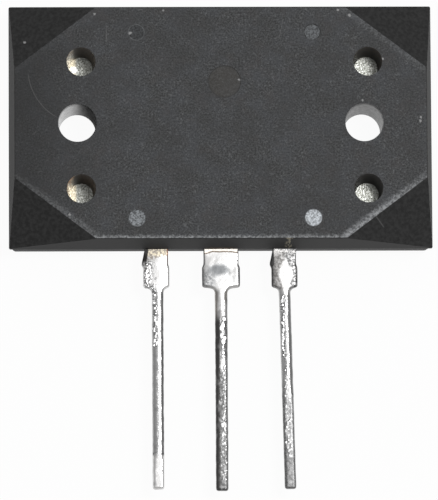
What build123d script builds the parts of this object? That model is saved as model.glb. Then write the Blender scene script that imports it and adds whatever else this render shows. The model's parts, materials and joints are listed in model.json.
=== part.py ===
from build123d import *
from math import atan, degrees
import os

# A power transistor in a flat moulded package with two screw holes and three tinned leads.
# It lies on its back: the bare metal heat face is on the XY plane, +Z leaves the moulded front and
# the leads run out along -Y. The origin is on the heat face, midway between the screw holes.
# All lengths are in millimetres.

# Moulded body
body_length = 36.4
body_width = 21.1
body_height = 6.0
parting_height = 3.1         # where the two mould halves meet
front_inset = 0.5            # draft of the front half, per side
back_inset = 0.25            # draft of the back half, per side
back_recess = 0.05           # the moulding stays this far behind the heat face
front_corner_radius = 0.15   # the front half's upright edges are nearly sharp
front_corner_height = 0.4    # and end within this above the parting line, where the facets cut them off
back_corner_radius = 0.6     # the back half's are rounder
corner_cut_length = 7.0      # each facet's run along the front's long edge
corner_cut_width = 5.3       # and along its short edge
corner_land = 0.2            # wall left under a facet at the corner
front_edge_radius = 0.1

# Screw holes
screw_end_distance = 5.9     # from the body's ends
screw_hole_diameter = 3.2
screw_lead_in = 0.05         # the front rim opens by this, per side
screw_lead_in_depth = 0.4

# Marks of the pins in the front mould half, which sat a little off the body's middle
mould_shift_x = 0.33
mould_shift_y = -0.2
pin_pitch_width = 11.0       # the four pins that held the header down, in line with the screw holes
pin_rim_diameter = 2.5
pin_foot_diameter = 2.0
ejector_pitch = 15.1
ejector_edge_distance = 2.0
ejector_diameter = 1.45
ejector_depth = 0.06
insert_mark_offset = 3.75    # a plain round mould insert, above the screw holes' line
insert_mark_diameter = 2.8
insert_mark_depth = 0.05

# Copper header, bare on the back
header_thickness = 2.1
header_side_cover = 1.2      # moulding beside the header's flange
header_top_cover = 1.0
header_lead_cover = 3.6
header_lock_height = 1.0     # below this the header is narrower, so the moulding grips its flange
header_lock_step = 0.6
header_corner_radius = 1.2
header_hole_diameter = 5.2   # lined by the moulding

# Leads outside the body
lead_pitch = 5.45
lead_thickness = 0.65
lead_length = 20.7           # from the body to the tips of the outer two
lead_edge_chamfer = 0.12
lead_tip_radius = 0.2
neck_length = 1.35           # from the body to the cut tie bar
tie_bar_length = 0.2         # along the lead
tie_bar_flare = 0.3          # burr of the cut tie bar
shoulder_length = 1.75
shoulder_slope = 0.1         # the shoulder's end slopes by this
shoulder_radius = 0.2
root_radius = 0.4            # hollow between the shoulder and the tail
side_neck_width = 2.0
side_shoulder_width = 2.26
side_tail_width = 1.0
base_plate_shift = 0.1       # the base lead's wide part sits this far outside its tail's middle
collector_neck_width = 3.0
collector_shoulder_width = 3.27
collector_tail_width = 1.08
collector_extra_length = 0.15
emitter_tip_drift = 0.4      # the emitter's tail is bent aside by this at its tip

# Inner ends of the leads
post_gap = 0.5               # moulding between the outer leads' posts and the header
post_edge_cover = 0.7        # and between the posts and the body's wall
base_post_width = 3.0
emitter_post_width = 4.0
post_radius = 0.3
tongue_landing = 0.4         # the collector's tongue reaches the header this far in from its edge
tongue_ramp_length = 0.8     # and drops to it over this
tongue_foot_length = 2.4

# Chip, solder and bond wires
chip_length = 7.0
chip_width = 7.0
chip_thickness = 0.3
chip_offset = 1.3            # the chip's middle, above the screw holes' line
solder_thickness = 0.08
solder_margin = 0.2          # the chip's solder shows round it
wire_diameter = 0.4
wire_squash = 0.1            # the wedge tool flattens each foot by this
wire_foot_length = 0.9
wire_loop_height = 1.3       # above the leads
wire_rise_share = 0.25       # where along its span the loop levels off
wire_fall_share = 0.55       # and where it starts down again
chip_bond_inset = 1.8        # from the chip's lead side to the heels of the wires
base_bond_offset = 2.3       # the base wire's place on the chip, from its middle
emitter_bond_offset = 1.5    # and the middle of the emitter wires'
emitter_wire_pitch = 1.4
emitter_wire_count = 2

cut_overrun = 1.0            # cutters reach this far past what they cut

# Places that follow from the sizes
front_length = body_length - 2 * front_inset
front_width = body_width - 2 * front_inset
screw_pitch = body_length - 2 * screw_end_distance
header_length = body_length - 2 * header_side_cover
header_top_y = body_width / 2 - header_top_cover
header_lead_y = header_lead_cover - body_width / 2
header_width = header_top_y - header_lead_y
header_middle_y = (header_top_y + header_lead_y) / 2
lead_top = parting_height
lead_bottom = lead_top - lead_thickness
lead_exit_y = -body_width / 2
bar_y = lead_exit_y - neck_length
shoulder_top_y = bar_y - tie_bar_length
shoulder_end_y = shoulder_top_y - shoulder_length
root_y = shoulder_end_y - shoulder_slope
post_outer_y = lead_exit_y + post_edge_cover
post_inner_y = header_lead_y - post_gap
post_bond_y = (post_outer_y + post_inner_y + wire_foot_length) / 2
foot_outer_y = header_lead_y + tongue_landing
foot_inner_y = foot_outer_y + tongue_foot_length
ramp_y = foot_outer_y - tongue_ramp_length
joint_top = header_thickness + solder_thickness
chip_top = joint_top + chip_thickness
chip_bond_y = chip_offset - chip_width / 2 + chip_bond_inset
wire_radius = wire_diameter / 2

sides = [-1, 1]
corners = [(side_x, side_y) for side_x in sides for side_y in sides]
standing = (Align.CENTER, Align.CENTER, Align.MIN)
hanging = (Align.CENTER, Align.CENTER, Align.MAX)


def drafted_block(outline, start_height, end_height, slope):
    """An outline extruded from one height to another, its walls drawn in by slope per unit of height."""
    block = Pos(0, 0, start_height) * extrude(outline, end_height - start_height)
    walls = block.faces().filter_by(Axis.Z, reverse=True)
    rising = 1 if end_height > start_height else -1
    return draft(walls, Plane.XY.offset(start_height), degrees(atan(slope)) * rising)


def front_half():
    """The front half's block: rounded upright edges up to the facets' feet, and plain walls above."""
    slope = front_inset / (body_height - parting_height)
    level = parting_height + front_corner_height
    drawn_in = 2 * slope * front_corner_height
    lower = RectangleRounded(body_length, body_width, front_corner_radius)
    upper = Rectangle(body_length - drawn_in, body_width - drawn_in)
    blocks = [drafted_block(lower, parting_height, level, slope),
              drafted_block(upper, level, body_height, slope)]
    for side_x, side_y in corners:
        facet = facet_plane(side_x, side_y)
        blocks = [split(block, bisect_by=facet, keep=Keep.BOTTOM) for block in blocks]
    return blocks[0] + blocks[1]


def back_half():
    """The back half's block, with rounder upright edges."""
    outline = RectangleRounded(body_length, body_width, back_corner_radius)
    return drafted_block(outline, parting_height, back_recess, back_inset / (parting_height - back_recess))


def facet_plane(side_x, side_y):
    """The sloped plane that cuts one front corner, facing out of the body."""
    front_x = side_x * front_length / 2
    front_y = side_y * front_width / 2
    on_long_edge = Vector(front_x - side_x * corner_cut_length, front_y, body_height)
    on_short_edge = Vector(front_x, front_y - side_y * corner_cut_width, body_height)
    foot = Vector(side_x * body_length / 2, side_y * body_width / 2, parting_height + corner_land)
    edge = on_short_edge - on_long_edge
    normal = edge.cross(foot - on_long_edge) * side_x * side_y
    return Plane(origin=on_long_edge, x_dir=edge, z_dir=normal)


def body_block():
    """The moulding's outer form: drafted walls, four corner facets and a softened front edge."""
    front = front_half()
    front = fillet(front.faces().sort_by(Axis.Z)[-1].edges(), front_edge_radius)
    return front + back_half()


def screw_holes():
    """Cutters for the two screw holes, each with a wider lead-in at the front."""
    radius = screw_hole_diameter / 2
    bore = Pos(0, 0, -cut_overrun) * Cylinder(radius, body_height + 2 * cut_overrun, align=standing)
    rim = Cone(radius, radius + screw_lead_in, screw_lead_in_depth, align=hanging)
    cutter = bore + Pos(0, 0, body_height) * rim
    return [Pos(side * screw_pitch / 2, 0, 0) * cutter for side in sides]


def pin_holes():
    """Cutters for the tapered holes that the hold-down pins left, down to the header."""
    depth = body_height - header_thickness
    pin = Cone(pin_foot_diameter / 2, pin_rim_diameter / 2, depth, align=standing)
    places = GridLocations(screw_pitch, pin_pitch_width, 2, 2)
    return [Pos(mould_shift_x, mould_shift_y, header_thickness) * place * pin for place in places]


def front_mark(x, y, diameter, depth):
    """Cutter for one shallow round mark in the front face."""
    disc = Cylinder(diameter / 2, depth + cut_overrun, align=standing)
    return Pos(x + mould_shift_x, y + mould_shift_y, body_height - depth) * disc


def front_marks():
    """Cutters for the four ejector marks and the disc of the plain mould insert."""
    reach_x = ejector_pitch / 2
    reach_y = front_width / 2 - ejector_edge_distance
    marks = [front_mark(0, insert_mark_offset, insert_mark_diameter, insert_mark_depth)]
    for side_x, side_y in corners:
        marks.append(front_mark(side_x * reach_x, side_y * reach_y, ejector_diameter, ejector_depth))
    return marks


def make_header():
    """The copper plate: a flange that the moulding grips and a narrower heat face."""
    flange = RectangleRounded(header_length, header_width, header_corner_radius)
    face = RectangleRounded(header_length - 2 * header_lock_step, header_width - 2 * header_lock_step,
                            header_corner_radius)
    plate = extrude(face, header_lock_height)
    plate += Pos(0, 0, header_lock_height) * extrude(flange, header_thickness - header_lock_height)
    plate = Pos(0, header_middle_y, 0) * plate
    hole = Cylinder(header_hole_diameter / 2, header_thickness, align=standing)
    return plate - [Pos(side * screw_pitch / 2, 0, 0) * hole for side in sides]


def lead_side(side, inner_edge, neck_width, shoulder_width, tail_width, length, flare, root_shift, tip_shift):
    """One side of a lead's plan. Each point has its corner radius, from the inside to the tip."""
    inside = [(side * x, y, radius) for x, y, radius in inner_edge]
    neck = side * neck_width / 2
    shoulder = side * shoulder_width / 2
    tail = side * tail_width / 2
    return inside + [(neck, lead_exit_y, 0), (neck + side * flare, bar_y, 0), (shoulder, shoulder_top_y, 0),
                     (shoulder, shoulder_end_y, shoulder_radius), (tail + root_shift, root_y, root_radius),
                     (tail + tip_shift, lead_exit_y - length, lead_tip_radius)]


def lead_plan(inner_edge, neck_width, shoulder_width, tail_width, length, flare=0, root_shift=0, tip_shift=0):
    """A lead's plan about the middle of its wide part, with the cut tie bar's burr on its left."""
    widths = (neck_width, shoulder_width, tail_width, length)
    right = lead_side(1, inner_edge, *widths, 0, root_shift, tip_shift)
    left = lead_side(-1, inner_edge, *widths, flare, root_shift, tip_shift)
    outline = right + left[::-1]
    points = [(x, y) for x, y, radius in outline]
    radii = [radius for x, y, radius in outline]
    return make_face(FilletPolyline(*points, radius=radii, close=True))


def stamped(plan):
    """A lead of that plan. The chamfer of its four long edges runs on round the tip and shoulders."""
    blank = extrude(plan, lead_thickness)
    return chamfer(blank.edges().sort_by(SortBy.LENGTH)[-4:], lead_edge_chamfer)


def outer_lead(side, post_width, plate_shift, tip_drift):
    """The base or emitter lead, flat from its post inside the body to its tip."""
    post = post_width / 2
    inner_edge = [(post, post_inner_y, post_radius), (post, post_outer_y, 0),
                  (side_neck_width / 2, post_outer_y, 0)]
    root_shift = -side * plate_shift
    plan = lead_plan(inner_edge, side_neck_width, side_shoulder_width, side_tail_width,
                     lead_length, tie_bar_flare, root_shift, root_shift + tip_drift)
    return Pos(side * (lead_pitch + plate_shift), 0, lead_bottom) * stamped(plan)


def make_collector_lead():
    """The middle lead, whose tongue drops inside the body to a foot on the header."""
    inner_edge = [(collector_neck_width / 2, ramp_y, 0)]
    plan = lead_plan(inner_edge, collector_neck_width, collector_shoulder_width, collector_tail_width,
                     lead_length + collector_extra_length)
    lead = Pos(0, 0, lead_bottom) * stamped(plan)
    under = [(ramp_y, lead_bottom), (foot_outer_y, joint_top), (foot_inner_y, joint_top)]
    over = [(y, z + lead_thickness) for y, z in under]
    profile = make_face(Plane.YZ * Polyline(*under, *over[::-1], close=True))
    return lead + extrude(profile, collector_neck_width / 2, both=True)


def make_collector_solder():
    """The solder under the collector tongue's foot."""
    middle_y = (foot_outer_y + foot_inner_y) / 2
    return Pos(0, middle_y, header_thickness) * Box(collector_neck_width, tongue_foot_length,
                                                    solder_thickness, align=standing)


def make_chip_solder():
    """The solder that joins the chip to the header, with a margin round it."""
    return Pos(0, chip_offset, header_thickness) * Box(chip_length + 2 * solder_margin,
                                                       chip_width + 2 * solder_margin,
                                                       solder_thickness, align=standing)


def make_chip():
    """The silicon chip."""
    return Pos(0, chip_offset, joint_top) * Box(chip_length, chip_width, chip_thickness, align=standing)


def bond_wire(chip_x, post_x, chip, lead):
    """An aluminium wire looped from the chip to a lead's post, flattened where it is bonded."""
    start = Vector(chip_x, chip_bond_y)
    span = Vector(post_x, post_bond_y) - start
    reach = span.length
    chip_z = chip_top + wire_radius - wire_squash
    post_z = lead_top + wire_radius - wire_squash
    loop_z = lead_top + wire_loop_height
    stations = [(-wire_foot_length, chip_z), (0, chip_z),
                (wire_rise_share * reach, loop_z), (wire_fall_share * reach, loop_z),
                (reach, post_z), (reach + wire_foot_length, post_z)]
    points = [start + span.normalized() * along + Vector(0, 0, z) for along, z in stations]
    path = Polyline(*points)
    section = Plane(origin=path @ 0, z_dir=path % 0) * Circle(wire_radius)
    return sweep(section, path, transition=Transition.RIGHT) - chip - lead


def make_pieces():
    """Every piece by its name, with the moulding formed round the rest."""
    pieces = {
        "header_plate": make_header(),
        "base_lead": outer_lead(-1, base_post_width, base_plate_shift, 0),
        "collector_lead": make_collector_lead(),
        "emitter_lead": outer_lead(1, emitter_post_width, 0, emitter_tip_drift),
        "transistor_chip": make_chip(),
        "chip_solder": make_chip_solder(),
        "collector_solder": make_collector_solder(),
    }
    chip = pieces["transistor_chip"]
    pieces["base_wire"] = bond_wire(-base_bond_offset, -lead_pitch, chip, pieces["base_lead"])
    for number in range(emitter_wire_count):
        shift = (number - (emitter_wire_count - 1) / 2) * emitter_wire_pitch
        wire = bond_wire(emitter_bond_offset + shift, lead_pitch + shift, chip, pieces["emitter_lead"])
        pieces[f"emitter_wire_{number + 1}"] = wire
    body = body_block() - screw_holes() - pin_holes() - front_marks()
    pieces["moulded_body"] = body - list(pieces.values())
    return pieces


os.makedirs("parts", exist_ok=True)
for name, piece in make_pieces().items():
    export_step(piece, f"parts/{name}.step")
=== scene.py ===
import json
import math
import random
import bpy
import numpy as np
from mathutils import Matrix, Vector, noise


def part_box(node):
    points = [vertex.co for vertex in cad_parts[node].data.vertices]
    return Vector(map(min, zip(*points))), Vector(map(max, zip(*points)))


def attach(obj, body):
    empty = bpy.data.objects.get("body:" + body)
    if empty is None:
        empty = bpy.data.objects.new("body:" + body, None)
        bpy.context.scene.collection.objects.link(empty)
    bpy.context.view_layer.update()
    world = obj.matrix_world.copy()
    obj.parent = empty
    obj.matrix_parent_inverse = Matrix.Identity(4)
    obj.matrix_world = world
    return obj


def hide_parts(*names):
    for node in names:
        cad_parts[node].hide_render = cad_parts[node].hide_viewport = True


# A power transistor in a flat moulded package, lying on its back on a white floor.
# +Z leaves the moulded front and the leads run out along -Y.
# Lengths are in metres, unless a heading says that they are in millimetres.

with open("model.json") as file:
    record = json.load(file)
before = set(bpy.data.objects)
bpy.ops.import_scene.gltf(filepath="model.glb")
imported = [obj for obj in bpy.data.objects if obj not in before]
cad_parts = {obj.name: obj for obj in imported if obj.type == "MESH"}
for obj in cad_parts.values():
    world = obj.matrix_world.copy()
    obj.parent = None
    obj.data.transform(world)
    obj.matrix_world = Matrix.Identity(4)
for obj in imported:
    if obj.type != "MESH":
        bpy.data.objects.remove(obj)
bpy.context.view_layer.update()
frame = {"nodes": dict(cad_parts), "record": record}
nodes = frame["nodes"]
mounts = {mount["name"]: mount for mount in frame["record"]["mounts"]}
mm = 0.001

# Places read from the frame
body_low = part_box("moulded_body")[0]
header_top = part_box("header_plate")[1].z
lead_exit_y = body_low.y
screw_x = mounts["right_screw_hole"]["pos_m"][0]
screw_radius = mounts["right_screw_hole"]["dims"]["r_mm"] * mm

# Marks of the mould on the front
mould_shift = Vector((0.33, -0.2)) * mm
pin_y = 5.5 * mm
pin_radius = 1.25 * mm
ejector_reach = Vector((7.55, 8.05)) * mm
ejector_radius = 0.725 * mm
insert_place = mould_shift + Vector((0, 3.75)) * mm
insert_radius = 1.4 * mm
rim_width = 0.08 * mm
front_half_y = 10.05 * mm
corner_slope = Vector((0.6, 0.8))
corner_reach = 14.28 * mm

# Ejector marks: the sides of the front that each is on, the greys of its dark and light speckles,
# and the grey and warmth of its rim, where it has one. The greys are partly the marks' own tone and
# partly painted reflection of the lamp, lightest on the lower right mark; the pale rim is a painted highlight
ejectors = [((-1, 1), 0.015, 0.06, (0.15, -0.03)),
            ((1, 1), 0.05, 0.17, (0.012, 0.0)),
            ((-1, -1), 0.07, 0.35, None),
            ((1, -1), 0.28, 0.8, None)]

# Dust on the front: place and radius, in millimetres
dust_specks = [(-10.8, 9.45, 0.09), (-4.9, 9.75, 0.07), (10.1, 9.75, 0.1), (11.1, 9.3, 0.12),
               (-16.8, 7.1, 0.1), (17.1, 0.1, 0.11), (17.15, 0.42, 0.09), (12.15, 1.9, 0.08),
               (13.9, 5.5, 0.1), (-13.0, -7.95, 0.1), (-7.75, 7.8, 0.13), (1.57, 3.7, 0.08)]

# Scratches on the front: start, end and width of the straight ones, in millimetres
scratches = [((-9.8, 8.5), (-9.75, 7.0), 0.07),
             ((13.1, -8.0), (13.9, -9.0), 0.08),
             ((5.4, 9.0), (5.0, 7.2), 0.05)]
scratch_share = 0.5

# The curved scratch
arc_centre = Vector((-11.65, 4.72)) * mm
arc_radius = 4.88 * mm
arc_half_width = 0.03 * mm
arc_low_y = 0.5 * mm
arc_high_y = 4.2 * mm
arc_soft = 0.2 * mm

# Flux on the wall beside the leads: how far in it reaches, its heights and its places along the wall
flux_reach = 0.6 * mm
collector_flux_low = 2.2 * mm
collector_flux_high = 3.5 * mm
collector_flux_half = 1.1 * mm
emitter_flux_left = 5.5 * mm
emitter_flux_right = 6.05 * mm
emitter_flux_low = 2 * mm
emitter_flux_full = 3 * mm

# Moulding: roughness of its faces, strength and depth of its grain, and its gloss
front_roughness = 0.64
facet_roughness = 0.42
wall_roughness = 0.7
bore_roughness = 0.36
front_bump = 0.5
facet_bump = 0.08
bump_depth = 0.02 * mm
moulding_gloss = 0.4

# Leads, in millimetres: their pitch, how far from the body each stretch ends, and their half widths
lead_pitch = 5.45
neck_end = 1.45
neck_blend = 0.1
plate_end = 3.15
tail_start = 3.8
side_neck_half = 1.0
side_plate_half = 1.12
side_tail_half = 0.5
collector_neck_half = 1.5
collector_plate_half = 1.63
collector_tail_half = 0.54
base_plate_shift = -0.1
emitter_drift = 0.4
tail_length = 17.6

# Camera, as the photograph was taken
camera_distance = 620.0 * mm
camera_target = Vector((-0.164, -10.619, 3.0)) * mm
camera_tilt = math.radians(7.956)
camera_yaw = math.radians(-1.415)
camera_roll = math.radians(-0.347)
camera_lens = 519.7
camera_sensor = 36.0
camera_near = 0.01
camera_far = 20.0

# Floor and light. The dome's levels go with the cosine of the angle from its bright side.
floor_half = 3.0
floor_drop = 0.02 * mm
floor_grey = 0.9
floor_white_share = 0.95
lamp_place = Vector((130.0, 20.0, 430.0)) * mm
lamp_size = 100.0 * mm
lamp_power = 0.68
dome_strength = 1.0
dome_bright_side = Vector((0.24, 0.15, 0.96))
dome_levels = [(0.0, 0.38), (0.5, 0.42), (0.77, 0.45), (0.89, 0.54), (0.956, 0.76)]

# Solder coat on the leads, in millimetres
voxel = 0.05
smooth_rounds = 36
slice_length = 0.1
lump_sizes = [(0.9, 0.014), (0.4, 0.016), (0.2, 0.004)]
seed_shift = 7.3
relief_span = 0.024
lump_room = 0.005
bead_spread = 0.3
bead_stretch = 2.2
bead_brow = 0.55
bead_height = 0.03
plate_lump_share = 0.45
bare_length = 0.25
coat_length = 0.7
tip_length = 0.4
tip_weight = 0.15

# Metals of the sealed pieces: colour, roughness and the nodes made of it
inner_metals = {
    "silicon": ((0.35, 0.36, 0.4, 1), 0.3, ["transistor_chip"]),
    "solder": ((0.6, 0.6, 0.6, 1), 0.4, ["chip_solder", "collector_solder"]),
    "aluminium_wire": ((0.8, 0.8, 0.8, 1), 0.25, ["base_wire", "emitter_wire_1", "emitter_wire_2"]),
}


class Graph:
    """A material's or world's node tree, with short calls to add and link nodes."""

    def __init__(self, tree):
        self.tree = tree
        self.nodes = tree.nodes

    def add(self, kind, settings=None, **inputs):
        """Adds a node. Inputs are values or other nodes' sockets, by socket name with _ for a space."""
        node = self.nodes.new("ShaderNode" + kind)
        for name, value in (settings or {}).items():
            setattr(node, name, value)
        for name, value in inputs.items():
            self.put(node, name.replace("_", " "), value)
        return node

    def put(self, node, name, value):
        """Sets a socket, by its name or number, to a value or links it to another node's socket."""
        socket = node.inputs[int(name)] if str(name).isdigit() else node.inputs[name]
        if isinstance(value, bpy.types.NodeSocket):
            self.tree.links.new(value, socket)
        else:
            socket.default_value = value

    def math(self, operation, first, second=0.0):
        """A Math node's result."""
        node = self.nodes.new("ShaderNodeMath")
        node.operation = operation
        self.put(node, 0, first)
        self.put(node, 1, second)
        return node.outputs[0]

    def vector(self, operation, first, second, output=0):
        """A Vector Math node's result."""
        node = self.nodes.new("ShaderNodeVectorMath")
        node.operation = operation
        self.put(node, 0, first)
        self.put(node, 1, second)
        return node.outputs[output]

    def step(self, value, low, high, start=0.0, end=1.0):
        """A smooth change from start to end while value goes from low to high."""
        node = self.add("MapRange", {"interpolation_type": "SMOOTHSTEP"}, Value=value)
        for name, number in (("From Min", low), ("From Max", high), ("To Min", start), ("To Max", end)):
            node.inputs[name].default_value = number
        return node.outputs["Result"]

    def above(self, value, limit, soft):
        """1 where value is above the limit, with a soft change."""
        return self.step(value, limit - soft, limit + soft)

    def below(self, value, limit, soft):
        """1 where value is below the limit, with a soft change."""
        return self.step(value, limit - soft, limit + soft, 1.0, 0.0)

    def between(self, value, low, high, soft):
        """1 between two limits, with soft changes."""
        return self.both(self.above(value, low, soft), self.below(value, high, soft))

    def both(self, *masks):
        """Masks multiplied together."""
        result = masks[0]
        for mask in masks[1:]:
            result = self.math("MULTIPLY", result, mask)
        return result

    def either(self, *masks):
        """The strongest of some masks."""
        result = masks[0]
        for mask in masks[1:]:
            result = self.math("MAXIMUM", result, mask)
        return result

    def mix(self, share, first, second):
        """A colour between two colours."""
        node = self.nodes.new("ShaderNodeMix")
        node.data_type = "RGBA"
        self.put(node, 0, share)
        self.put(node, 6, first)
        self.put(node, 7, second)
        return node.outputs[2]

    def blend(self, share, first, second):
        """A number between two numbers."""
        node = self.nodes.new("ShaderNodeMix")
        self.put(node, 0, share)
        self.put(node, 2, first)
        self.put(node, 3, second)
        return node.outputs[0]

    def paint(self, colour, layers):
        """A colour with layers of mask and colour laid over it in turn."""
        for mask, layer in layers:
            colour = self.mix(mask, colour, layer)
        return colour

    def noise(self, place, size, detail=2.0, roughness=0.5):
        """Noise whose features are about size long, between 0 and 1."""
        node = self.add("TexNoise", Vector=place, Scale=1.0 / size, Detail=detail, Roughness=roughness)
        return node.outputs["Fac"]

    def wobbled(self, value, place, size, height):
        """A value that noise moves up and down."""
        swing = self.math("SUBTRACT", self.noise(place, size), 0.5)
        return self.math("ADD", value, self.math("MULTIPLY", swing, height))

    def place(self):
        """Object coordinates, which are the frame's own, in metres."""
        return self.add("TexCoord").outputs["Object"]

    def number(self, name):
        """A number that the mesh keeps for each of its points."""
        return self.add("Attribute", {"attribute_name": name}).outputs["Fac"]

    def parts(self, vector):
        """A vector's three components."""
        return self.add("SeparateXYZ", Vector=vector).outputs

    def normal(self):
        """The components of the face's own normal."""
        return self.parts(self.add("NewGeometry").outputs["True Normal"])

    def away(self, place, centre):
        """Distance from a point of the front, along the front."""
        flat = self.vector("MULTIPLY", place, (1, 1, 0))
        return self.vector("DISTANCE", flat, (centre[0], centre[1], 0), "Value")

    def disc(self, place, centre, radius, soft):
        """1 inside a circle of the front."""
        return self.below(self.away(place, centre), radius, soft)

    def rim(self, place, centre, radius, soft):
        """1 along the edge of a circle of the front."""
        return self.between(self.away(place, centre), radius - rim_width, radius, soft)

    def scratch(self, place, start, end, width):
        """1 along a straight scratch on the front."""
        run = Vector(end) - Vector(start)
        ahead = run.normalized()
        local = self.vector("SUBTRACT", place, (start[0], start[1], 0))
        along = self.vector("DOT_PRODUCT", local, (ahead.x, ahead.y, 0), "Value")
        across = self.vector("DOT_PRODUCT", local, (-ahead.y, ahead.x, 0), "Value")
        inside = self.between(along, 0, run.length, width)
        return self.both(inside, self.below(self.math("ABSOLUTE", across), width / 2, width / 2))


def start_material(name):
    """A new material's graph and its Principled shader."""
    material = bpy.data.materials.new(name)
    material.use_nodes = True
    graph = Graph(material.node_tree)
    shader = graph.nodes["Principled BSDF"]
    return material, graph, shader


def grey(level, warm=0.0):
    """A grey, with more red and less blue where warm is above 0."""
    return (level * (1 + warm), level, level * (1 - warm), 1)


# Colours of the moulded front
grain_dark = grey(0.014, -0.02)
grain_light = grey(0.088, -0.03)
spark_grey = grey(0.14, -0.03)
cold_cloud = (0.068, 0.074, 0.086, 1)
dull_cloud = grey(0.03)
warm_cloud = (0.06, 0.052, 0.05, 1)
# Painted shade laid over the left end of the front
painted_left_shade = grey(0.012, -0.02)
# Pale of the rubbed edges, partly painted highlight along them
frost_and_highlight_grey = grey(0.42, -0.03)
insert_brown = (0.05, 0.045, 0.038, 1)
insert_rim = grey(0.025)
dust_grey = grey(0.3)
scratch_grey = grey(0.13)

# Colours of the moulding's facets, walls and holes
facet_dark = grey(0.008)
facet_light = grey(0.024)
wall_grey = grey(0.017)
bore_grey = grey(0.04)
pin_grey = grey(0.1, 0.04)
pin_stain = (0.12, 0.105, 0.09, 1)
# Pale and tan of the metal smear in the left pin holes, partly a painted highlight
upper_pale = (0.95, 0.9, 0.82, 1)
lower_pale = (0.95, 0.8, 0.6, 1)
upper_tan = (0.7, 0.6, 0.48, 1)
lower_tan = (0.7, 0.36, 0.15, 1)
collector_flux_brown = (0.16, 0.11, 0.05, 1)
emitter_flux_tan = (0.3, 0.27, 0.2, 1)


def eroded_front(graph, place):
    """The spark-eroded front: fine grains, some of them bright, faint clouds of hue, and painted shade on its
    left.
    """
    grain = graph.step(graph.noise(place, 0.15 * mm, detail=3.0, roughness=0.75), 0.36, 0.66)
    sparks = graph.above(graph.noise(place, 0.19 * mm, detail=1.0), 0.67, 0.05)
    cold = graph.step(graph.noise(place, 1.6 * mm, detail=4.0, roughness=0.6), 0.35, 0.68)
    dull = graph.step(graph.noise(place, 2.6 * mm, detail=3.0), 0.42, 0.64)
    elsewhere = graph.vector("ADD", place, (0.05, 0, 0))
    warm = graph.step(graph.noise(elsewhere, 1.1 * mm, detail=3.0), 0.5, 0.72)
    # Painted shade: the front darkens towards its left end
    painted_shade = graph.step(graph.parts(place)[0], body_low.x, body_low.x + 9 * mm, 0.7, 0.05)
    return graph.paint(graph.mix(grain, grain_dark, grain_light),
                       [(graph.both(sparks, 0.7), spark_grey),
                        (graph.both(cold, 0.35), cold_cloud),
                        (graph.both(dull, 0.35), dull_cloud),
                        (graph.both(warm, 0.25), warm_cloud),
                        (painted_shade, painted_left_shade)])


def edge_frost(graph, place):
    """Where the front's lower and right-hand edges are rubbed pale and carry painted highlight, stronger to
    the right.
    """
    x, y, _ = graph.parts(place)
    corner = graph.vector("DOT_PRODUCT", graph.vector("ABSOLUTE", place, (0, 0, 0)),
                          (corner_slope.x, corner_slope.y, 0), "Value")
    corner = graph.wobbled(corner, place, 0.25 * mm, 0.5 * mm)
    lower = graph.wobbled(y, place, 0.22 * mm, 0.5 * mm)
    corner_band = graph.step(corner, corner_reach - 0.55 * mm, corner_reach - 0.05 * mm)
    lower_band = graph.step(lower, -front_half_y, -front_half_y + 0.45 * mm, 0.9, 0.0)
    corner_band = graph.both(corner_band, graph.step(y, -8 * mm, -3 * mm, 1.0, 0.15),
                             graph.step(x, -9 * mm, 9 * mm, 0.22, 0.8))
    broken = graph.step(graph.noise(place, 0.3 * mm, detail=3.0, roughness=0.7), 0.38, 0.62, 0.2, 1.0)
    return graph.both(graph.either(corner_band, lower_band), broken)


def ejector_marks(graph, place):
    """Layers of mask and colour: four speckled discs, partly painted reflection, of which two have a rim, one
    painted as a highlight.
    """
    speckle = graph.step(graph.noise(place, 0.14 * mm, detail=2.0, roughness=0.7), 0.35, 0.65)
    worn = graph.step(graph.noise(place, 0.4 * mm), 0.35, 0.6, 0.3, 1.0)
    layers = []
    for sides, dark, light, rim in ejectors:
        centre = mould_shift + Vector((sides[0] * ejector_reach.x, sides[1] * ejector_reach.y))
        colour = graph.mix(speckle, grey(dark, -0.05), grey(light, -0.06))
        layers.append((graph.disc(place, centre, ejector_radius, 0.05 * mm), colour))
        # The upper left mark's pale rim is a painted highlight
        if rim:
            edge = graph.rim(place, centre, ejector_radius, 0.03 * mm)
            layers.append((graph.both(edge, worn), grey(*rim)))
    return layers


def scratch_marks(graph, place):
    """Layers of mask and colour: the curved scratch and the straight ones."""
    x, y, _ = graph.parts(place)
    ring = graph.between(graph.away(place, arc_centre), arc_radius - arc_half_width,
                         arc_radius + arc_half_width, arc_half_width)
    arc = graph.both(ring, graph.between(y, arc_low_y, arc_high_y, arc_soft),
                     graph.below(x, arc_centre.x, arc_soft))
    lines = [arc]
    for start, end, width in scratches:
        lines.append(graph.scratch(place, Vector(start) * mm, Vector(end) * mm, width * mm))
    return [(graph.both(line, scratch_share), scratch_grey) for line in lines]


def front_marks(graph, place):
    """Layers of mask and colour: the mould insert, ejector marks, dust and scratches."""
    insert = graph.disc(place, insert_place, insert_radius, 0.1 * mm)
    edge = graph.rim(place, insert_place, insert_radius, 0.04 * mm)
    layers = [(graph.both(insert, 0.5), insert_brown), (graph.both(edge, 0.6), insert_rim)]
    layers += ejector_marks(graph, place)
    for x, y, radius in dust_specks:
        from_speck = graph.wobbled(graph.away(place, (x * mm, y * mm)), place, 0.12 * mm, 0.2 * mm)
        layers.append((graph.below(from_speck, radius * mm, 0.05 * mm), dust_grey))
    return layers + scratch_marks(graph, place)


def pin_walls(graph, place):
    """1 inside the four pin holes."""
    local = graph.vector("SUBTRACT", place, (mould_shift.x, mould_shift.y, 0))
    corner = graph.vector("ABSOLUTE", local, (0, 0, 0))
    round_pins = graph.disc(corner, (screw_x, pin_y), pin_radius + 0.1 * mm, 0.1 * mm)
    return graph.both(round_pins, graph.above(graph.parts(place)[2], header_top, 0.2 * mm))


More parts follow.
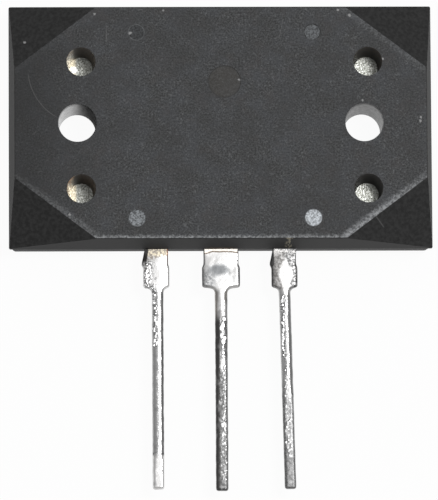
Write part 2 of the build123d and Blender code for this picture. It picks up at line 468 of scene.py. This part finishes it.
def wall_marks(graph, place):
    """Layers of mask and colour on the upright walls: pin holes, a metal smear partly painted as a highlight,
    and the flux beside the leads.
    """
    x, y, z = graph.parts(place)
    pins = pin_walls(graph, place)
    # The smear at the left of the left pin holes: metal, partly painted as a highlight where it faces the
    # lamp
    left_limit = mould_shift.x - screw_x - 0.75 * mm
    left_edge = graph.below(graph.wobbled(x, place, 0.4 * mm, 0.5 * mm), left_limit, 0.2 * mm)
    upper = graph.above(y, 0, mm)
    stain = graph.step(graph.noise(place, 0.3 * mm), 0.4, 0.6)
    pale = graph.mix(upper, lower_pale, upper_pale)
    tan = graph.mix(upper, lower_tan, upper_tan)
    smear_and_highlight = graph.mix(stain, pale, tan)
    flux_side = graph.below(y, lead_exit_y + flux_reach, 0.1 * mm)
    uneven_z = graph.wobbled(z, place, 0.3 * mm, 0.5 * mm)
    from_collector = graph.wobbled(graph.math("ABSOLUTE", x), place, 0.5 * mm, 0.9 * mm)
    collector_flux = graph.both(flux_side,
                                graph.between(uneven_z, collector_flux_low, collector_flux_high, 0.2 * mm),
                                graph.below(from_collector, collector_flux_half, 0.4 * mm),
                                graph.blend(stain, 0.2, 0.65))
    uneven_x = graph.wobbled(x, place, 0.25 * mm, 0.4 * mm)
    drawn_out = graph.vector("MULTIPLY", place, (1, 1, 0.2))
    emitter_flux = graph.both(flux_side,
                              graph.between(uneven_x, emitter_flux_left, emitter_flux_right, 0.1 * mm),
                              graph.above(graph.noise(drawn_out, 0.16 * mm), 0.52, 0.05),
                              graph.step(z, emitter_flux_low, emitter_flux_full, 0.0, 0.8))
    return [(pins, pin_grey),
            (graph.both(pins, stain, upper), pin_stain),
            (graph.both(pins, left_edge), smear_and_highlight),
            (collector_flux, collector_flux_brown),
            (emitter_flux, emitter_flux_tan)]


def bore_finish(graph, place):
    """Roughness of the screw holes: uneven, and in the left one smooth at its left and dull at its right."""
    x = graph.parts(place)[0]
    worn = graph.step(x, -screw_x - 0.8 * mm, -screw_x + 1.4 * mm, 0.15, 0.85)
    even = graph.blend(graph.below(x, 0, mm), bore_roughness, worn)
    return graph.wobbled(even, place, 0.3 * mm, 0.35)


def moulding_material():
    """Near-black epoxy: an eroded matte front, and smoother and darker facets and walls."""
    material, graph, shader = start_material("moulding")
    place = graph.place()
    up = graph.normal()[2]
    front = graph.step(up, 0.97, 0.995)
    upright = graph.below(graph.math("ABSOLUTE", up), 0.42, 0.08)
    mirrored = graph.vector("ABSOLUTE", place, (0, 0, 0))
    bore = graph.disc(mirrored, (screw_x, 0), screw_radius + 0.15 * mm, 0.05 * mm)
    bore = graph.both(bore, upright)
    mottle = graph.step(graph.noise(place, 0.3 * mm, detail=4.0), 0.3, 0.7)
    smooth = graph.mix(mottle, facet_dark, facet_light)
    smooth = graph.paint(smooth, [(upright, wall_grey), (bore, bore_grey)] + wall_marks(graph, place))
    rough = graph.paint(eroded_front(graph, place), [(edge_frost(graph, place), frost_and_highlight_grey)])
    facing_up = graph.above(up, 0.2, 0.1)
    marks = [(graph.both(mask, facing_up), layer) for mask, layer in front_marks(graph, place)]
    colour = graph.paint(graph.mix(front, smooth, rough), marks)
    graph.put(shader, "Base Color", colour)
    graph.put(shader, "Specular IOR Level", moulding_gloss)
    finish = graph.blend(upright, graph.blend(front, facet_roughness, front_roughness), wall_roughness)
    pin_finish = graph.step(graph.parts(place)[0], -screw_x - 0.6 * mm, -screw_x + 0.4 * mm, 0.3, 0.6)
    finish = graph.blend(graph.both(pin_walls(graph, place), upright), finish, pin_finish)
    graph.put(shader, "Roughness", graph.blend(bore, finish, bore_finish(graph, place)))
    grain = graph.noise(place, 0.12 * mm, detail=3.0, roughness=0.6)
    strength = graph.blend(front, facet_bump, front_bump)
    bump = graph.add("Bump", Strength=strength, Distance=bump_depth, Height=grain)
    graph.put(shader, "Normal", bump.outputs["Normal"])
    return material


# Colours of the stains on the solder, and of the bare copper
gold = (0.86, 0.76, 0.56, 1)
cream = (0.98, 0.93, 0.86, 1)
copper = (0.2, 0.09, 0.055, 1)
brown = (0.2, 0.155, 0.12, 1)

# Colours of the plated header
fleck_pale = (0.5, 0.51, 0.48, 1)
fleck_dark = (0.14, 0.14, 0.12, 1)
plate_gold = (0.8, 0.7, 0.5, 1)
copper_spot = (0.6, 0.44, 0.3, 1)

# Roughness of the solder
bright = 0.16
satin = 0.22
matte = 0.42

# Along the emitter lead, in millimetres: the middle of its bright diamond, and where its tail turns dull
diamond_middle = 2.1
emitter_dull_from = 12.0


def base_look(graph, place, across, along):
    """Layers of mask, colour and roughness on the base lead. Across is from -1 to 1, along in millimetres."""
    rough_across = graph.wobbled(across, place, 0.35 * mm, 0.5)
    line = graph.wobbled(along, place, 0.25 * mm, 0.3)
    mottle = graph.step(graph.noise(place, 0.16 * mm), 0.42, 0.58)
    pits = graph.above(graph.noise(place, 0.2 * mm), 0.56, 0.04)
    slanted = graph.math("ADD", across, graph.math("MULTIPLY", along, 0.16))
    tail = graph.between(along, 3.6, 17.7, 0.3)
    pitted = graph.both(graph.below(rough_across, 0.05, 0.3), graph.between(along, 1.2, 3.6, 0.3), pits)
    # Painted shadow: a dark strip along the left of the neck
    painted_shadow = graph.both(graph.below(slanted, -0.66, 0.06), graph.below(along, 1.25, 0.3))
    # Painted shade among these: the shadow on the neck and the grey strips along the tail's left and right
    return [(graph.both(graph.below(line, 0.6, 0.15), 0.85), gold, satin),
            (graph.both(graph.below(line, 0.9, 0.15), mottle), grey(0.35, 0.12), satin),
            (painted_shadow, grey(0.05, 0.03), satin),
            (pitted, grey(0.22), matte),
            (tail, graph.mix(mottle, grey(0.7), grey(0.45)), satin),
            (graph.both(graph.below(rough_across, -0.3, 0.2), tail), grey(0.52), satin),
            (graph.both(graph.above(across, 0.66, 0.08), tail), grey(0.2), satin),
            (graph.both(graph.between(line, 17.55, 17.75, 0.08), mottle), grey(0.15), satin),
            (graph.both(graph.above(across, 0.9, 0.04), graph.below(along, 1.3, 0.3)), copper, satin)]


def patch(graph, across, along, centre, half):
    """1 inside an oval of a lead's top."""
    sideways = graph.math("DIVIDE", graph.math("SUBTRACT", across, centre[0]), half[0])
    onward = graph.math("DIVIDE", graph.math("SUBTRACT", along, centre[1]), half[1])
    square = graph.math("ADD", graph.both(sideways, sideways), graph.both(onward, onward))
    return graph.step(square, 0.1, 1.0, 1.0, 0.0)


def collector_look(graph, place, across, along):
    """Layers of mask, colour and roughness on the collector lead, placed as on the base lead."""
    rough_across = graph.wobbled(across, place, 0.35 * mm, 0.5)
    soft_across = graph.wobbled(across, place, 0.7 * mm, 0.3)
    soft_along = graph.wobbled(along, place, 0.5 * mm, 0.4)
    from_middle = graph.math("ABSOLUTE", across)
    left_sag = graph.step(across, -0.9, -0.5, 0.18, 0.0)
    right_sag = graph.step(across, 0.6, 0.95, 0.0, 0.09)
    sag = graph.math("ADD", left_sag, right_sag)
    line = graph.math("SUBTRACT", graph.wobbled(along, place, 0.6 * mm, 0.12), sag)
    mottle = graph.above(graph.noise(place, 0.22 * mm, detail=3.0), 0.5, 0.06)
    smudge = patch(graph, soft_across, soft_along, (-0.12, 1.8), (0.85, 0.75))
    lower_left = patch(graph, soft_across, soft_along, (-0.75, 2.6), (0.75, 1.1))
    lower_right = patch(graph, soft_across, soft_along, (0.85, 2.2), (0.6, 1.2))
    tail = graph.above(along, 4.2, 0.5)
    # Painted shade: dark edges of the plate, grey at both sides of the tail's root, and a dark strip along
    # the tail's left
    edges = graph.both(graph.above(from_middle, 0.94, 0.03), graph.below(along, 3.4, 0.1))
    root = graph.both(graph.above(from_middle, 0.5, 0.2), graph.between(along, 3.3, 4.6, 0.3))
    blotched = graph.both(graph.between(along, 6.0, 9.6, 0.4), graph.above(rough_across, -0.2, 0.2))
    shaded_left_strip = graph.both(graph.below(rough_across, -0.26, 0.14), graph.above(along, 5.8, 0.6))
    # Painted shade among these: the plate's edges, the tail's root and the strips along the tail's left and
    # right
    return [(graph.below(line, 0.18, 0.06), cream, satin),
            (graph.between(line, 0.17, 0.28, 0.04), brown, satin),
            (smudge, grey(0.22, -0.03), matte),
            (graph.both(lower_left, graph.blend(mottle, 1.0, 0.6)), grey(0.26, -0.02), matte),
            (graph.both(lower_right, 0.75), grey(0.16), matte),
            (edges, grey(0.06), satin),
            (root, grey(0.35, 0.05), satin),
            (graph.both(graph.below(across, -0.62, 0.15), tail), grey(0.4, 0.06), satin),
            (blotched, graph.mix(mottle, grey(0.34), grey(0.2)), matte),
            (graph.above(along, 10.0, 1.0), graph.mix(mottle, grey(0.24), grey(0.13)), matte),
            (shaded_left_strip, grey(0.1, 0.02), satin),
            (graph.both(graph.above(across, 0.78, 0.08), tail), grey(0.25), satin)]


def emitter_look(graph, place, across, along):
    """Layers of mask, colour and roughness on the emitter lead, placed as on the base lead."""
    rough_across = graph.wobbled(across, place, 0.35 * mm, 0.5)
    uneven = graph.wobbled(graph.wobbled(across, place, 0.4 * mm, 0.2), place, 0.15 * mm, 0.2)
    sideways = graph.math("ABSOLUTE", graph.math("SUBTRACT", uneven, 0.08))
    before = graph.math("MULTIPLY", graph.math("SUBTRACT", diamond_middle, along), 0.42)
    after = graph.math("MULTIPLY", graph.math("SUBTRACT", along, diamond_middle), 0.25)
    # Painted shade outside the plate's bright diamond, darker to the left
    diamond = graph.math("ADD", sideways, graph.either(before, after))
    outside = graph.above(diamond, 0.5, 0.2)
    left = graph.below(across, 0, 0.3)
    mottle = graph.above(graph.noise(place, 0.22 * mm, detail=3.0), 0.5, 0.06)
    specks = graph.above(graph.noise(place, 0.2 * mm), 0.54, 0.04)
    tail = graph.above(along, 3.8, 0.3)
    outside = graph.both(outside, graph.below(along, 3.6, 0.3), graph.blend(mottle, 0.75, 1.0))
    # Painted shade: a dark left edge on the plate
    left_edge = graph.both(graph.below(across, -0.9, 0.04), graph.below(along, 3.4, 0.1))
    upper_tail = graph.both(tail, graph.below(along, emitter_dull_from, 1.5))
    # Painted shade among these: outside the diamond, the plate's left edge and the strips along the tail's
    # left and right
    return [(upper_tail, graph.mix(mottle, grey(0.46), grey(0.26)), satin),
            (outside, graph.mix(left, grey(0.12), grey(0.19, 0.03)), matte),
            (graph.both(graph.below(along, 0.4, 0.1), specks), grey(0.9, 0.02), bright),
            (left_edge, grey(0.08), satin),
            (graph.both(graph.below(rough_across, -0.3, 0.2), tail), grey(0.6), satin),
            (graph.both(graph.above(rough_across, 0.48, 0.15), tail), grey(0.32), satin),
            (graph.above(along, emitter_dull_from, 1.5), graph.mix(mottle, grey(0.36), grey(0.22)), matte),
            (graph.above(along, 17.2, 1.2), graph.mix(mottle, grey(0.26), grey(0.18)), matte)]


# What differs from lead to lead, in millimetres: middle, half widths, shift of the plate, drift of the tip.
# The crowns of plate and tail are shares of the half thickness. The tail turns flat from and over a length.
# The sides are the greys of the painted shade on the left and right steep sides.
# A place with beads has its ends along and across the lead, the beads' radius and the share that they fill.
leads = {
    "base_lead": {
        "seed": 0, "middle": -lead_pitch, "shift": base_plate_shift, "drift": 0.0,
        "neck": side_neck_half, "plate": side_plate_half, "tail": side_tail_half,
        "plate_crown": 0.2, "tail_crown": 0.33, "flat_from": 17.9, "flat_over": 0.3,
        "look": base_look, "sides": (0.1, 0.5),
        "beads": [(1.1, 3.4, -0.95, -0.2, 0.075, 0.6), (3.3, 8.5, -0.8, -0.2, 0.13, 0.85)],
    },
    "collector_lead": {
        "seed": 1, "middle": 0.0, "shift": 0.0, "drift": 0.0,
        "neck": collector_neck_half, "plate": collector_plate_half, "tail": collector_tail_half,
        "plate_crown": 0.12, "tail_crown": 0.38, "flat_from": 9.0, "flat_over": 2.0,
        "look": collector_look, "sides": (0.1, 0.1),
        "beads": [(6.0, 9.6, 0.0, 0.5, 0.2, 1.1), (9.8, 20.0, -0.1, 0.7, 0.085, 0.36)],
    },
    "emitter_lead": {
        "seed": 2, "middle": lead_pitch, "shift": 0.0, "drift": emitter_drift,
        "neck": side_neck_half, "plate": side_plate_half, "tail": side_tail_half,
        "plate_crown": 0.12, "tail_crown": 0.33, "flat_from": 11.0, "flat_over": 3.0,
        "look": emitter_look, "sides": (0.1, 0.25),
        "beads": [(3.8, 9.6, -0.75, -0.25, 0.11, 0.7), (10.5, 18.0, -0.6, 0.4, 0.08, 0.3)],
    },
}


def solder_material(name):
    """Dipped solder on one lead: bright uneven metal with its own marks, painted shade on its steep sides, in
    its hollows and round its beads, and painted highlight on its bead tops.
    """
    lead = leads[name]
    material, graph, shader = start_material(name + "_solder")
    place = graph.place()
    x, y, _ = graph.parts(place)
    along = graph.math("DIVIDE", graph.math("SUBTRACT", lead_exit_y, y), mm)
    bend = graph.step(along, tail_start, tail_start + tail_length, 0.0, lead["drift"])
    bend = graph.math("ADD", bend, graph.step(along, plate_end, tail_start, lead["shift"], 0.0))
    across = graph.math("SUBTRACT", graph.math("DIVIDE", x, mm), lead["middle"])
    wide = graph.step(along, neck_end - neck_blend, neck_end + neck_blend, lead["neck"], lead["plate"])
    half = graph.blend(graph.step(along, plate_end, tail_start), wide, lead["tail"])
    across = graph.math("DIVIDE", graph.math("SUBTRACT", across, bend), half)
    # Painted shade on the lead's steep sides, with a grey for each side
    side_shade = graph.below(graph.math("ABSOLUTE", graph.normal()[2]), 0.38, 0.18)
    bead = graph.number("bead")
    # Painted shade round each bead's foot and painted highlight on its top
    bead_edge_shade = graph.between(bead, 0.08, 0.75, 0.08)
    bead_top_highlight = graph.above(bead, 0.8, 0.12)
    # Painted shade in the hollows between the solder's lumps, stronger on the tail
    shaded_hollow = graph.below(graph.number("relief"), 0.3, 0.15)
    shaded_hollow = graph.both(shaded_hollow, graph.step(along, 3.0, 4.0, 0.25, 0.6))
    left_side_shade, right_side_shade = lead["sides"]
    side_shade_colour = graph.mix(graph.above(across, 0, 0.1), grey(left_side_shade), grey(right_side_shade))
    layers = lead["look"](graph, place, across, along)
    bead_share = graph.both(graph.step(along, 3.0, 3.6, 0.55, 1.0), graph.step(along, 9.0, 11.0, 1.0, 0.45))
    layers += [(shaded_hollow, grey(0.35), satin),
               (graph.both(bead_edge_shade, bead_share), grey(0.2), satin),
               (graph.both(bead_top_highlight, bead_share), grey(0.9), satin),
               (side_shade, side_shade_colour, satin)]
    cloud = graph.noise(place, 0.8 * mm, detail=3.0)
    colour = graph.mix(graph.step(cloud, 0.35, 0.7), grey(0.82, 0.01), grey(0.93, 0.005))
    finish = graph.step(cloud, 0.3, 0.7, satin, bright)
    for mask, layer, roughness in layers:
        colour = graph.mix(mask, colour, layer)
        finish = graph.blend(mask, finish, roughness)
    graph.put(shader, "Base Color", colour)
    graph.put(shader, "Metallic", 1.0)
    graph.put(shader, "Roughness", finish)
    fine = graph.noise(place, 0.15 * mm, detail=2.0)
    bump = graph.add("Bump", Strength=0.15, Distance=bump_depth, Height=fine)
    graph.put(shader, "Normal", bump.outputs["Normal"])
    return material


def plated_material():
    """Nickel plate on copper: sparkling inside the pin holes, rolled and lightly scratched on the back."""
    material, graph, shader = start_material("plated_copper")
    place = graph.place()
    inside = graph.above(graph.parts(place)[2], 1 * mm, 0.2 * mm)
    spots = graph.noise(place, 0.6 * mm, detail=3.0)
    flecks = graph.noise(place, 0.15 * mm, detail=3.0, roughness=0.7)
    grain = graph.noise(graph.vector("MULTIPLY", place, (0.06, 1, 1)), 0.12 * mm, detail=3.0)
    bottom = graph.mix(graph.step(flecks, 0.36, 0.64), fleck_pale, fleck_dark)
    # Gold on the left of the left pins' bottoms, partly the plate's own tint and partly painted light where
    # the lamp reaches; and a painted glint on the upper left one
    left_gold_and_light = graph.below(graph.parts(place)[0], mould_shift.x - screw_x - 0.45 * mm, 0.15 * mm)
    glint_place = mould_shift + Vector((-screw_x - 0.6 * mm, pin_y - 0.1 * mm))
    glint = graph.disc(place, glint_place, 0.28 * mm, 0.1 * mm)
    bottom = graph.paint(bottom, [(graph.both(left_gold_and_light, 0.6), plate_gold), (glint, grey(0.95))])
    back = graph.mix(graph.step(grain, 0.3, 0.7), grey(0.5, 0.03), grey(0.64, 0.02))
    back = graph.mix(graph.step(spots, 0.62, 0.8), back, copper_spot)
    graph.put(shader, "Base Color", graph.mix(inside, back, bottom))
    graph.put(shader, "Metallic", 1.0)
    graph.put(shader, "Roughness", graph.blend(inside, graph.step(grain, 0.3, 0.7, 0.32, 0.42), 0.3))
    sparkle = graph.noise(place, 0.13 * mm, detail=2.0)
    bump = graph.add("Bump", Strength=graph.blend(inside, 0.12, 0.7), Distance=0.03 * mm,
                     Height=graph.blend(inside, grain, sparkle))
    graph.put(shader, "Normal", bump.outputs["Normal"])
    return material


def inner_metal(name, colour, roughness):
    """A sealed piece's metal, lightly mottled."""
    material, graph, shader = start_material(name)
    mottle = graph.noise(graph.place(), 0.5 * mm, detail=3.0)
    dark = tuple(0.75 * part for part in colour[:3]) + (1,)
    graph.put(shader, "Base Color", graph.mix(mottle, dark, colour))
    graph.put(shader, "Metallic", 1.0)
    graph.put(shader, "Roughness", graph.step(mottle, 0.2, 0.8, roughness - 0.08, roughness + 0.08))
    return material


def dress(piece, material):
    """Gives a piece one material."""
    piece.data.materials.clear()
    piece.data.materials.append(material)


def eased(values, low, high):
    """A smooth change from 0 to 1 while the values go from low to high."""
    share = np.clip((values - low) / (high - low), 0, 1)
    return share * share * (3 - 2 * share)


def relaxed(points, edges, weights, rounds):
    """Points drawn towards the mean of their neighbours, by their weights."""
    count = np.bincount(edges.ravel(), minlength=len(points))[:, None]
    for _ in range(rounds):
        total = np.zeros_like(points)
        np.add.at(total, edges[:, 0], points[edges[:, 1]])
        np.add.at(total, edges[:, 1], points[edges[:, 0]])
        points = points + 0.5 * weights[:, None] * (total / count - points)
    return points


def refitted(points, original, weights):
    """Relaxed points widened in each short slice of the lead, so that it keeps its width and thickness."""
    start = original[:, 1].min()
    slices = ((original[:, 1] - start) / slice_length).astype(int)
    count = slices.max() + 1
    middles = np.arange(count)
    fitted = points.copy()
    for axis in (0, 2):
        reach = []
        for cloud in (original, points):
            low = np.full(count, np.inf)
            high = np.full(count, -np.inf)
            np.minimum.at(low, slices, cloud[:, axis])
            np.maximum.at(high, slices, cloud[:, axis])
            reach.append((low, high))
        (old_low, old_high), (new_low, new_high) = reach
        stretch = np.maximum((old_high - old_low - 2 * lump_room) / (new_high - new_low), 1)
        centre = (new_low + new_high) / 2
        at = (points[:, 1] - start) / slice_length - 0.5
        stretch = np.interp(at, middles, stretch)
        centre = np.interp(at, middles, centre)
        fitted[:, axis] = centre + (points[:, axis] - centre) * (1 + weights * (stretch - 1))
    return fitted


def lead_places(points, lead):
    """How far along a lead its points are, where across it, from -1 to 1, and its half width there."""
    along = lead_exit_y / mm - points[:, 1]
    tail = eased(along, plate_end, tail_start)
    widened = eased(along, neck_end - neck_blend, neck_end + neck_blend)
    wide = lead["neck"] + (lead["plate"] - lead["neck"]) * widened
    half = wide + (lead["tail"] - wide) * tail
    bend = lead["drift"] * np.clip((along - tail_start) / tail_length, 0, 1) + lead["shift"] * (1 - tail)
    return along, (points[:, 0] - lead["middle"] - bend) / half, half


def crowned(points, weights, rises, lead, middle_z):
    """Points of a lead made thinner towards its sides, apart from its beads, which stay full."""
    along, across, _ = lead_places(points, lead)
    tail = eased(along, plate_end, tail_start)
    crown = lead["plate_crown"] + (lead["tail_crown"] - lead["plate_crown"]) * tail
    flat = eased(along, lead["flat_from"], lead["flat_from"] + lead["flat_over"])
    thinner = weights * crown * (1 - flat) * (1 - rises) * np.clip(across * across, 0, 1)
    points = points.copy()
    points[:, 2] = middle_z + (points[:, 2] - middle_z) * (1 - thinner)
    return points


def remeshed(node):
    """A fine even mesh of a CAD node, in millimetres."""
    source = nodes[node].data.copy()
    source.transform(Matrix.Scale(1 / mm, 4))
    scratch = bpy.data.objects.new("scratch", source)
    bpy.context.scene.collection.objects.link(scratch)
    modifier = scratch.modifiers.new("even", "REMESH")
    modifier.mode = "VOXEL"
    modifier.voxel_size = voxel
    graph = bpy.context.evaluated_depsgraph_get()
    mesh = bpy.data.meshes.new_from_object(scratch.evaluated_get(graph))
    bpy.data.objects.remove(scratch)
    bpy.data.meshes.remove(source)
    return mesh


def lumps(points, lead):
    """Height of the uneven solder at each point."""
    shift = Vector((0, 0, seed_shift * lead["seed"]))
    heights = []
    for point in points:
        place = Vector(point)
        heights.append(sum(rise * noise.noise(place / size + shift) for size, rise in lump_sizes))
    tail = eased(lead_places(points, lead)[0], plate_end, tail_start)
    return np.array(heights) * (plate_lump_share + (1 - plate_lump_share) * tail)


def beads(points, lead):
    """How far up a bead of solder each point is, from 0 at its foot to 1 on its flat top."""
    along, across, half = lead_places(points, lead)
    draw = random.Random(lead["seed"])
    rises = np.zeros(len(points))
    for start, end, left, right, radius, fill_share in lead["beads"]:
        width = lead["tail"] if start > plate_end else lead["plate"]
        area = (end - start) * (right - left) * width
        count = round(fill_share * area / (math.pi * radius ** 2))
        for index in range(count):
            onward = along - start - (end - start) * (index + draw.random()) / count
            sideways = (across - draw.uniform(left, right)) * half
            reach = radius * draw.uniform(1 - bead_spread, 1 + bead_spread)
            distance = np.hypot(onward / draw.uniform(1, bead_stretch), sideways)
            rises = np.maximum(rises, 1 - distance / reach)
    return eased(rises, 0, bead_brow)


def keep_numbers(mesh, name, values):
    """Keeps one number for each point of a mesh, for its material to read."""
    layer = mesh.attributes.new(name, "FLOAT", "POINT")
    layer.data.foreach_set("value", values.astype(np.float32))


def read_points(collection, name, count):
    """Vectors of a mesh's collection, one row each."""
    values = np.empty(count * 3, dtype=np.float32)
    collection.foreach_get(name, values)
    return values.reshape(-1, 3).astype(float)


def body_exit_z(node):
    """Height of the middle of a lead where it is outside the body."""
    outside = [vertex.co.z for vertex in nodes[node].data.vertices if vertex.co.y < lead_exit_y]
    return (min(outside) + max(outside)) / 2


def tinned_lead(node):
    """A lead with its dipped coat: rounded edges, crowned faces and an uneven skin."""
    lead = leads[node]
    low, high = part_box(node)
    mesh = remeshed(node)
    count = len(mesh.vertices)
    original = read_points(mesh.vertices, "co", count)
    edges = np.empty(len(mesh.edges) * 2, dtype=np.int32)
    mesh.edges.foreach_get("vertices", edges)
    edges = edges.reshape(-1, 2)
    coat_start = lead_exit_y / mm - bare_length
    coat = eased(-original[:, 1], -coat_start, -coat_start + coat_length)
    tip = eased(original[:, 1] - low.y / mm, 0, tip_length)
    weights = coat * (tip_weight + (1 - tip_weight) * tip)
    points = refitted(relaxed(original, edges, weights, smooth_rounds), original, weights)
    rises = beads(points, lead)
    points = crowned(points, weights, rises, lead, body_exit_z(node) / mm)
    mesh.vertices.foreach_set("co", points.astype(np.float32).ravel())
    mesh.update()
    normals = read_points(mesh.vertex_normals, "vector", count)
    relief = lumps(points, lead)
    points = points + normals * (weights * (relief + bead_height * rises))[:, None]
    points = np.clip(points * mm, low, high)
    mesh.vertices.foreach_set("co", points.astype(np.float32).ravel())
    mesh.polygons.foreach_set("use_smooth", [True] * len(mesh.polygons))
    keep_numbers(mesh, "relief", 0.5 + 0.5 * weights * np.clip(relief / relief_span, -1, 1))
    keep_numbers(mesh, "bead", rises)
    mesh.update()
    piece = bpy.data.objects.new(node + "_tinned", mesh)
    bpy.context.scene.collection.objects.link(piece)
    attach(piece, "root")
    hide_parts(node)
    return piece


def make_floor():
    """A plain white floor that keeps a faint shadow of the part."""
    mesh = bpy.data.meshes.new("floor")
    sides = ((-1, -1), (1, -1), (1, 1), (-1, 1))
    corners = [(x * floor_half, y * floor_half, -floor_drop) for x, y in sides]
    mesh.from_pydata(corners, [], [(0, 1, 2, 3)])
    floor = bpy.data.objects.new("floor", mesh)
    bpy.context.scene.collection.objects.link(floor)
    material = bpy.data.materials.new("floor")
    material.use_nodes = True
    graph = Graph(material.node_tree)
    graph.nodes.clear()
    paths = graph.add("LightPath").outputs
    seen = graph.either(paths["Is Camera Ray"], paths["Is Glossy Ray"], paths["Is Transmission Ray"])
    share = graph.math("MULTIPLY", seen, floor_white_share)
    diffuse = graph.add("BsdfDiffuse", Color=grey(floor_grey))
    white = graph.add("Emission", Color=grey(1.0), Strength=1.0)
    mixed = graph.add("MixShader", Fac=share)
    graph.put(mixed, 1, diffuse.outputs[0])
    graph.put(mixed, 2, white.outputs[0])
    output = graph.add("OutputMaterial")
    graph.put(output, "Surface", mixed.outputs[0])
    floor.data.materials.append(material)


def make_dome():
    """A soft dome of light, brightest overhead and a little to the right."""
    world = bpy.data.worlds.new("dome")
    bpy.context.scene.world = world
    world.use_nodes = True
    graph = Graph(world.node_tree)
    background = graph.nodes["Background"]
    direction = graph.add("TexCoord").outputs["Generated"]
    nearness = graph.vector("DOT_PRODUCT", direction, dome_bright_side.normalized(), "Value")
    ramp = graph.add("ValToRGB", Fac=nearness)
    points = ramp.color_ramp.elements
    while len(points) < len(dome_levels):
        points.new(0.5)
    for point, (share, level) in zip(points, dome_levels):
        point.position = share
        point.color = grey(level)
    graph.put(background, "Color", ramp.outputs["Color"])
    graph.put(background, "Strength", dome_strength)


def make_lamp():
    """A square soft lamp that faces the part from above, a little to its right."""
    data = bpy.data.lights.new("key", "AREA")
    data.size = lamp_size
    data.energy = lamp_power
    lamp = bpy.data.objects.new("key", data)
    lamp.location = lamp_place
    lamp.rotation_mode = "QUATERNION"
    lamp.rotation_quaternion = (-lamp_place).to_track_quat("-Z", "Y")
    bpy.context.scene.collection.objects.link(lamp)


def make_camera():
    """The camera, aimed and turned as the photograph was taken."""
    back = Vector((math.sin(camera_yaw), -math.sin(camera_tilt) * math.cos(camera_yaw),
                   math.cos(camera_tilt) * math.cos(camera_yaw)))
    level = Vector((0, 1, 0)).cross(back).normalized()
    upright = back.cross(level)
    right = level * math.cos(camera_roll) + upright * math.sin(camera_roll)
    above = upright * math.cos(camera_roll) - level * math.sin(camera_roll)
    data = bpy.data.cameras.new("camera")
    data.sensor_width = camera_sensor
    data.lens = camera_lens
    data.clip_start = camera_near
    data.clip_end = camera_far
    camera = bpy.data.objects.new("camera", data)
    turn = Matrix((right, above, back)).transposed().to_4x4()
    camera.matrix_world = Matrix.Translation(camera_target + back * camera_distance) @ turn
    bpy.context.scene.collection.objects.link(camera)
    bpy.context.scene.camera = camera


def dress_part():
    """Materials for the CAD nodes and the coated leads that stand for three of them."""
    dress(nodes["moulded_body"], moulding_material())
    dress(nodes["header_plate"], plated_material())
    for name, (colour, roughness, sealed_nodes) in inner_metals.items():
        metal = inner_metal(name, colour, roughness)
        for node in sealed_nodes:
            dress(nodes[node], metal)
    for name in leads:
        dress(tinned_lead(name), solder_material(name))


bpy.context.scene.view_settings.view_transform = "Standard"
dress_part()
make_floor()
make_dome()
make_lamp()
make_camera()
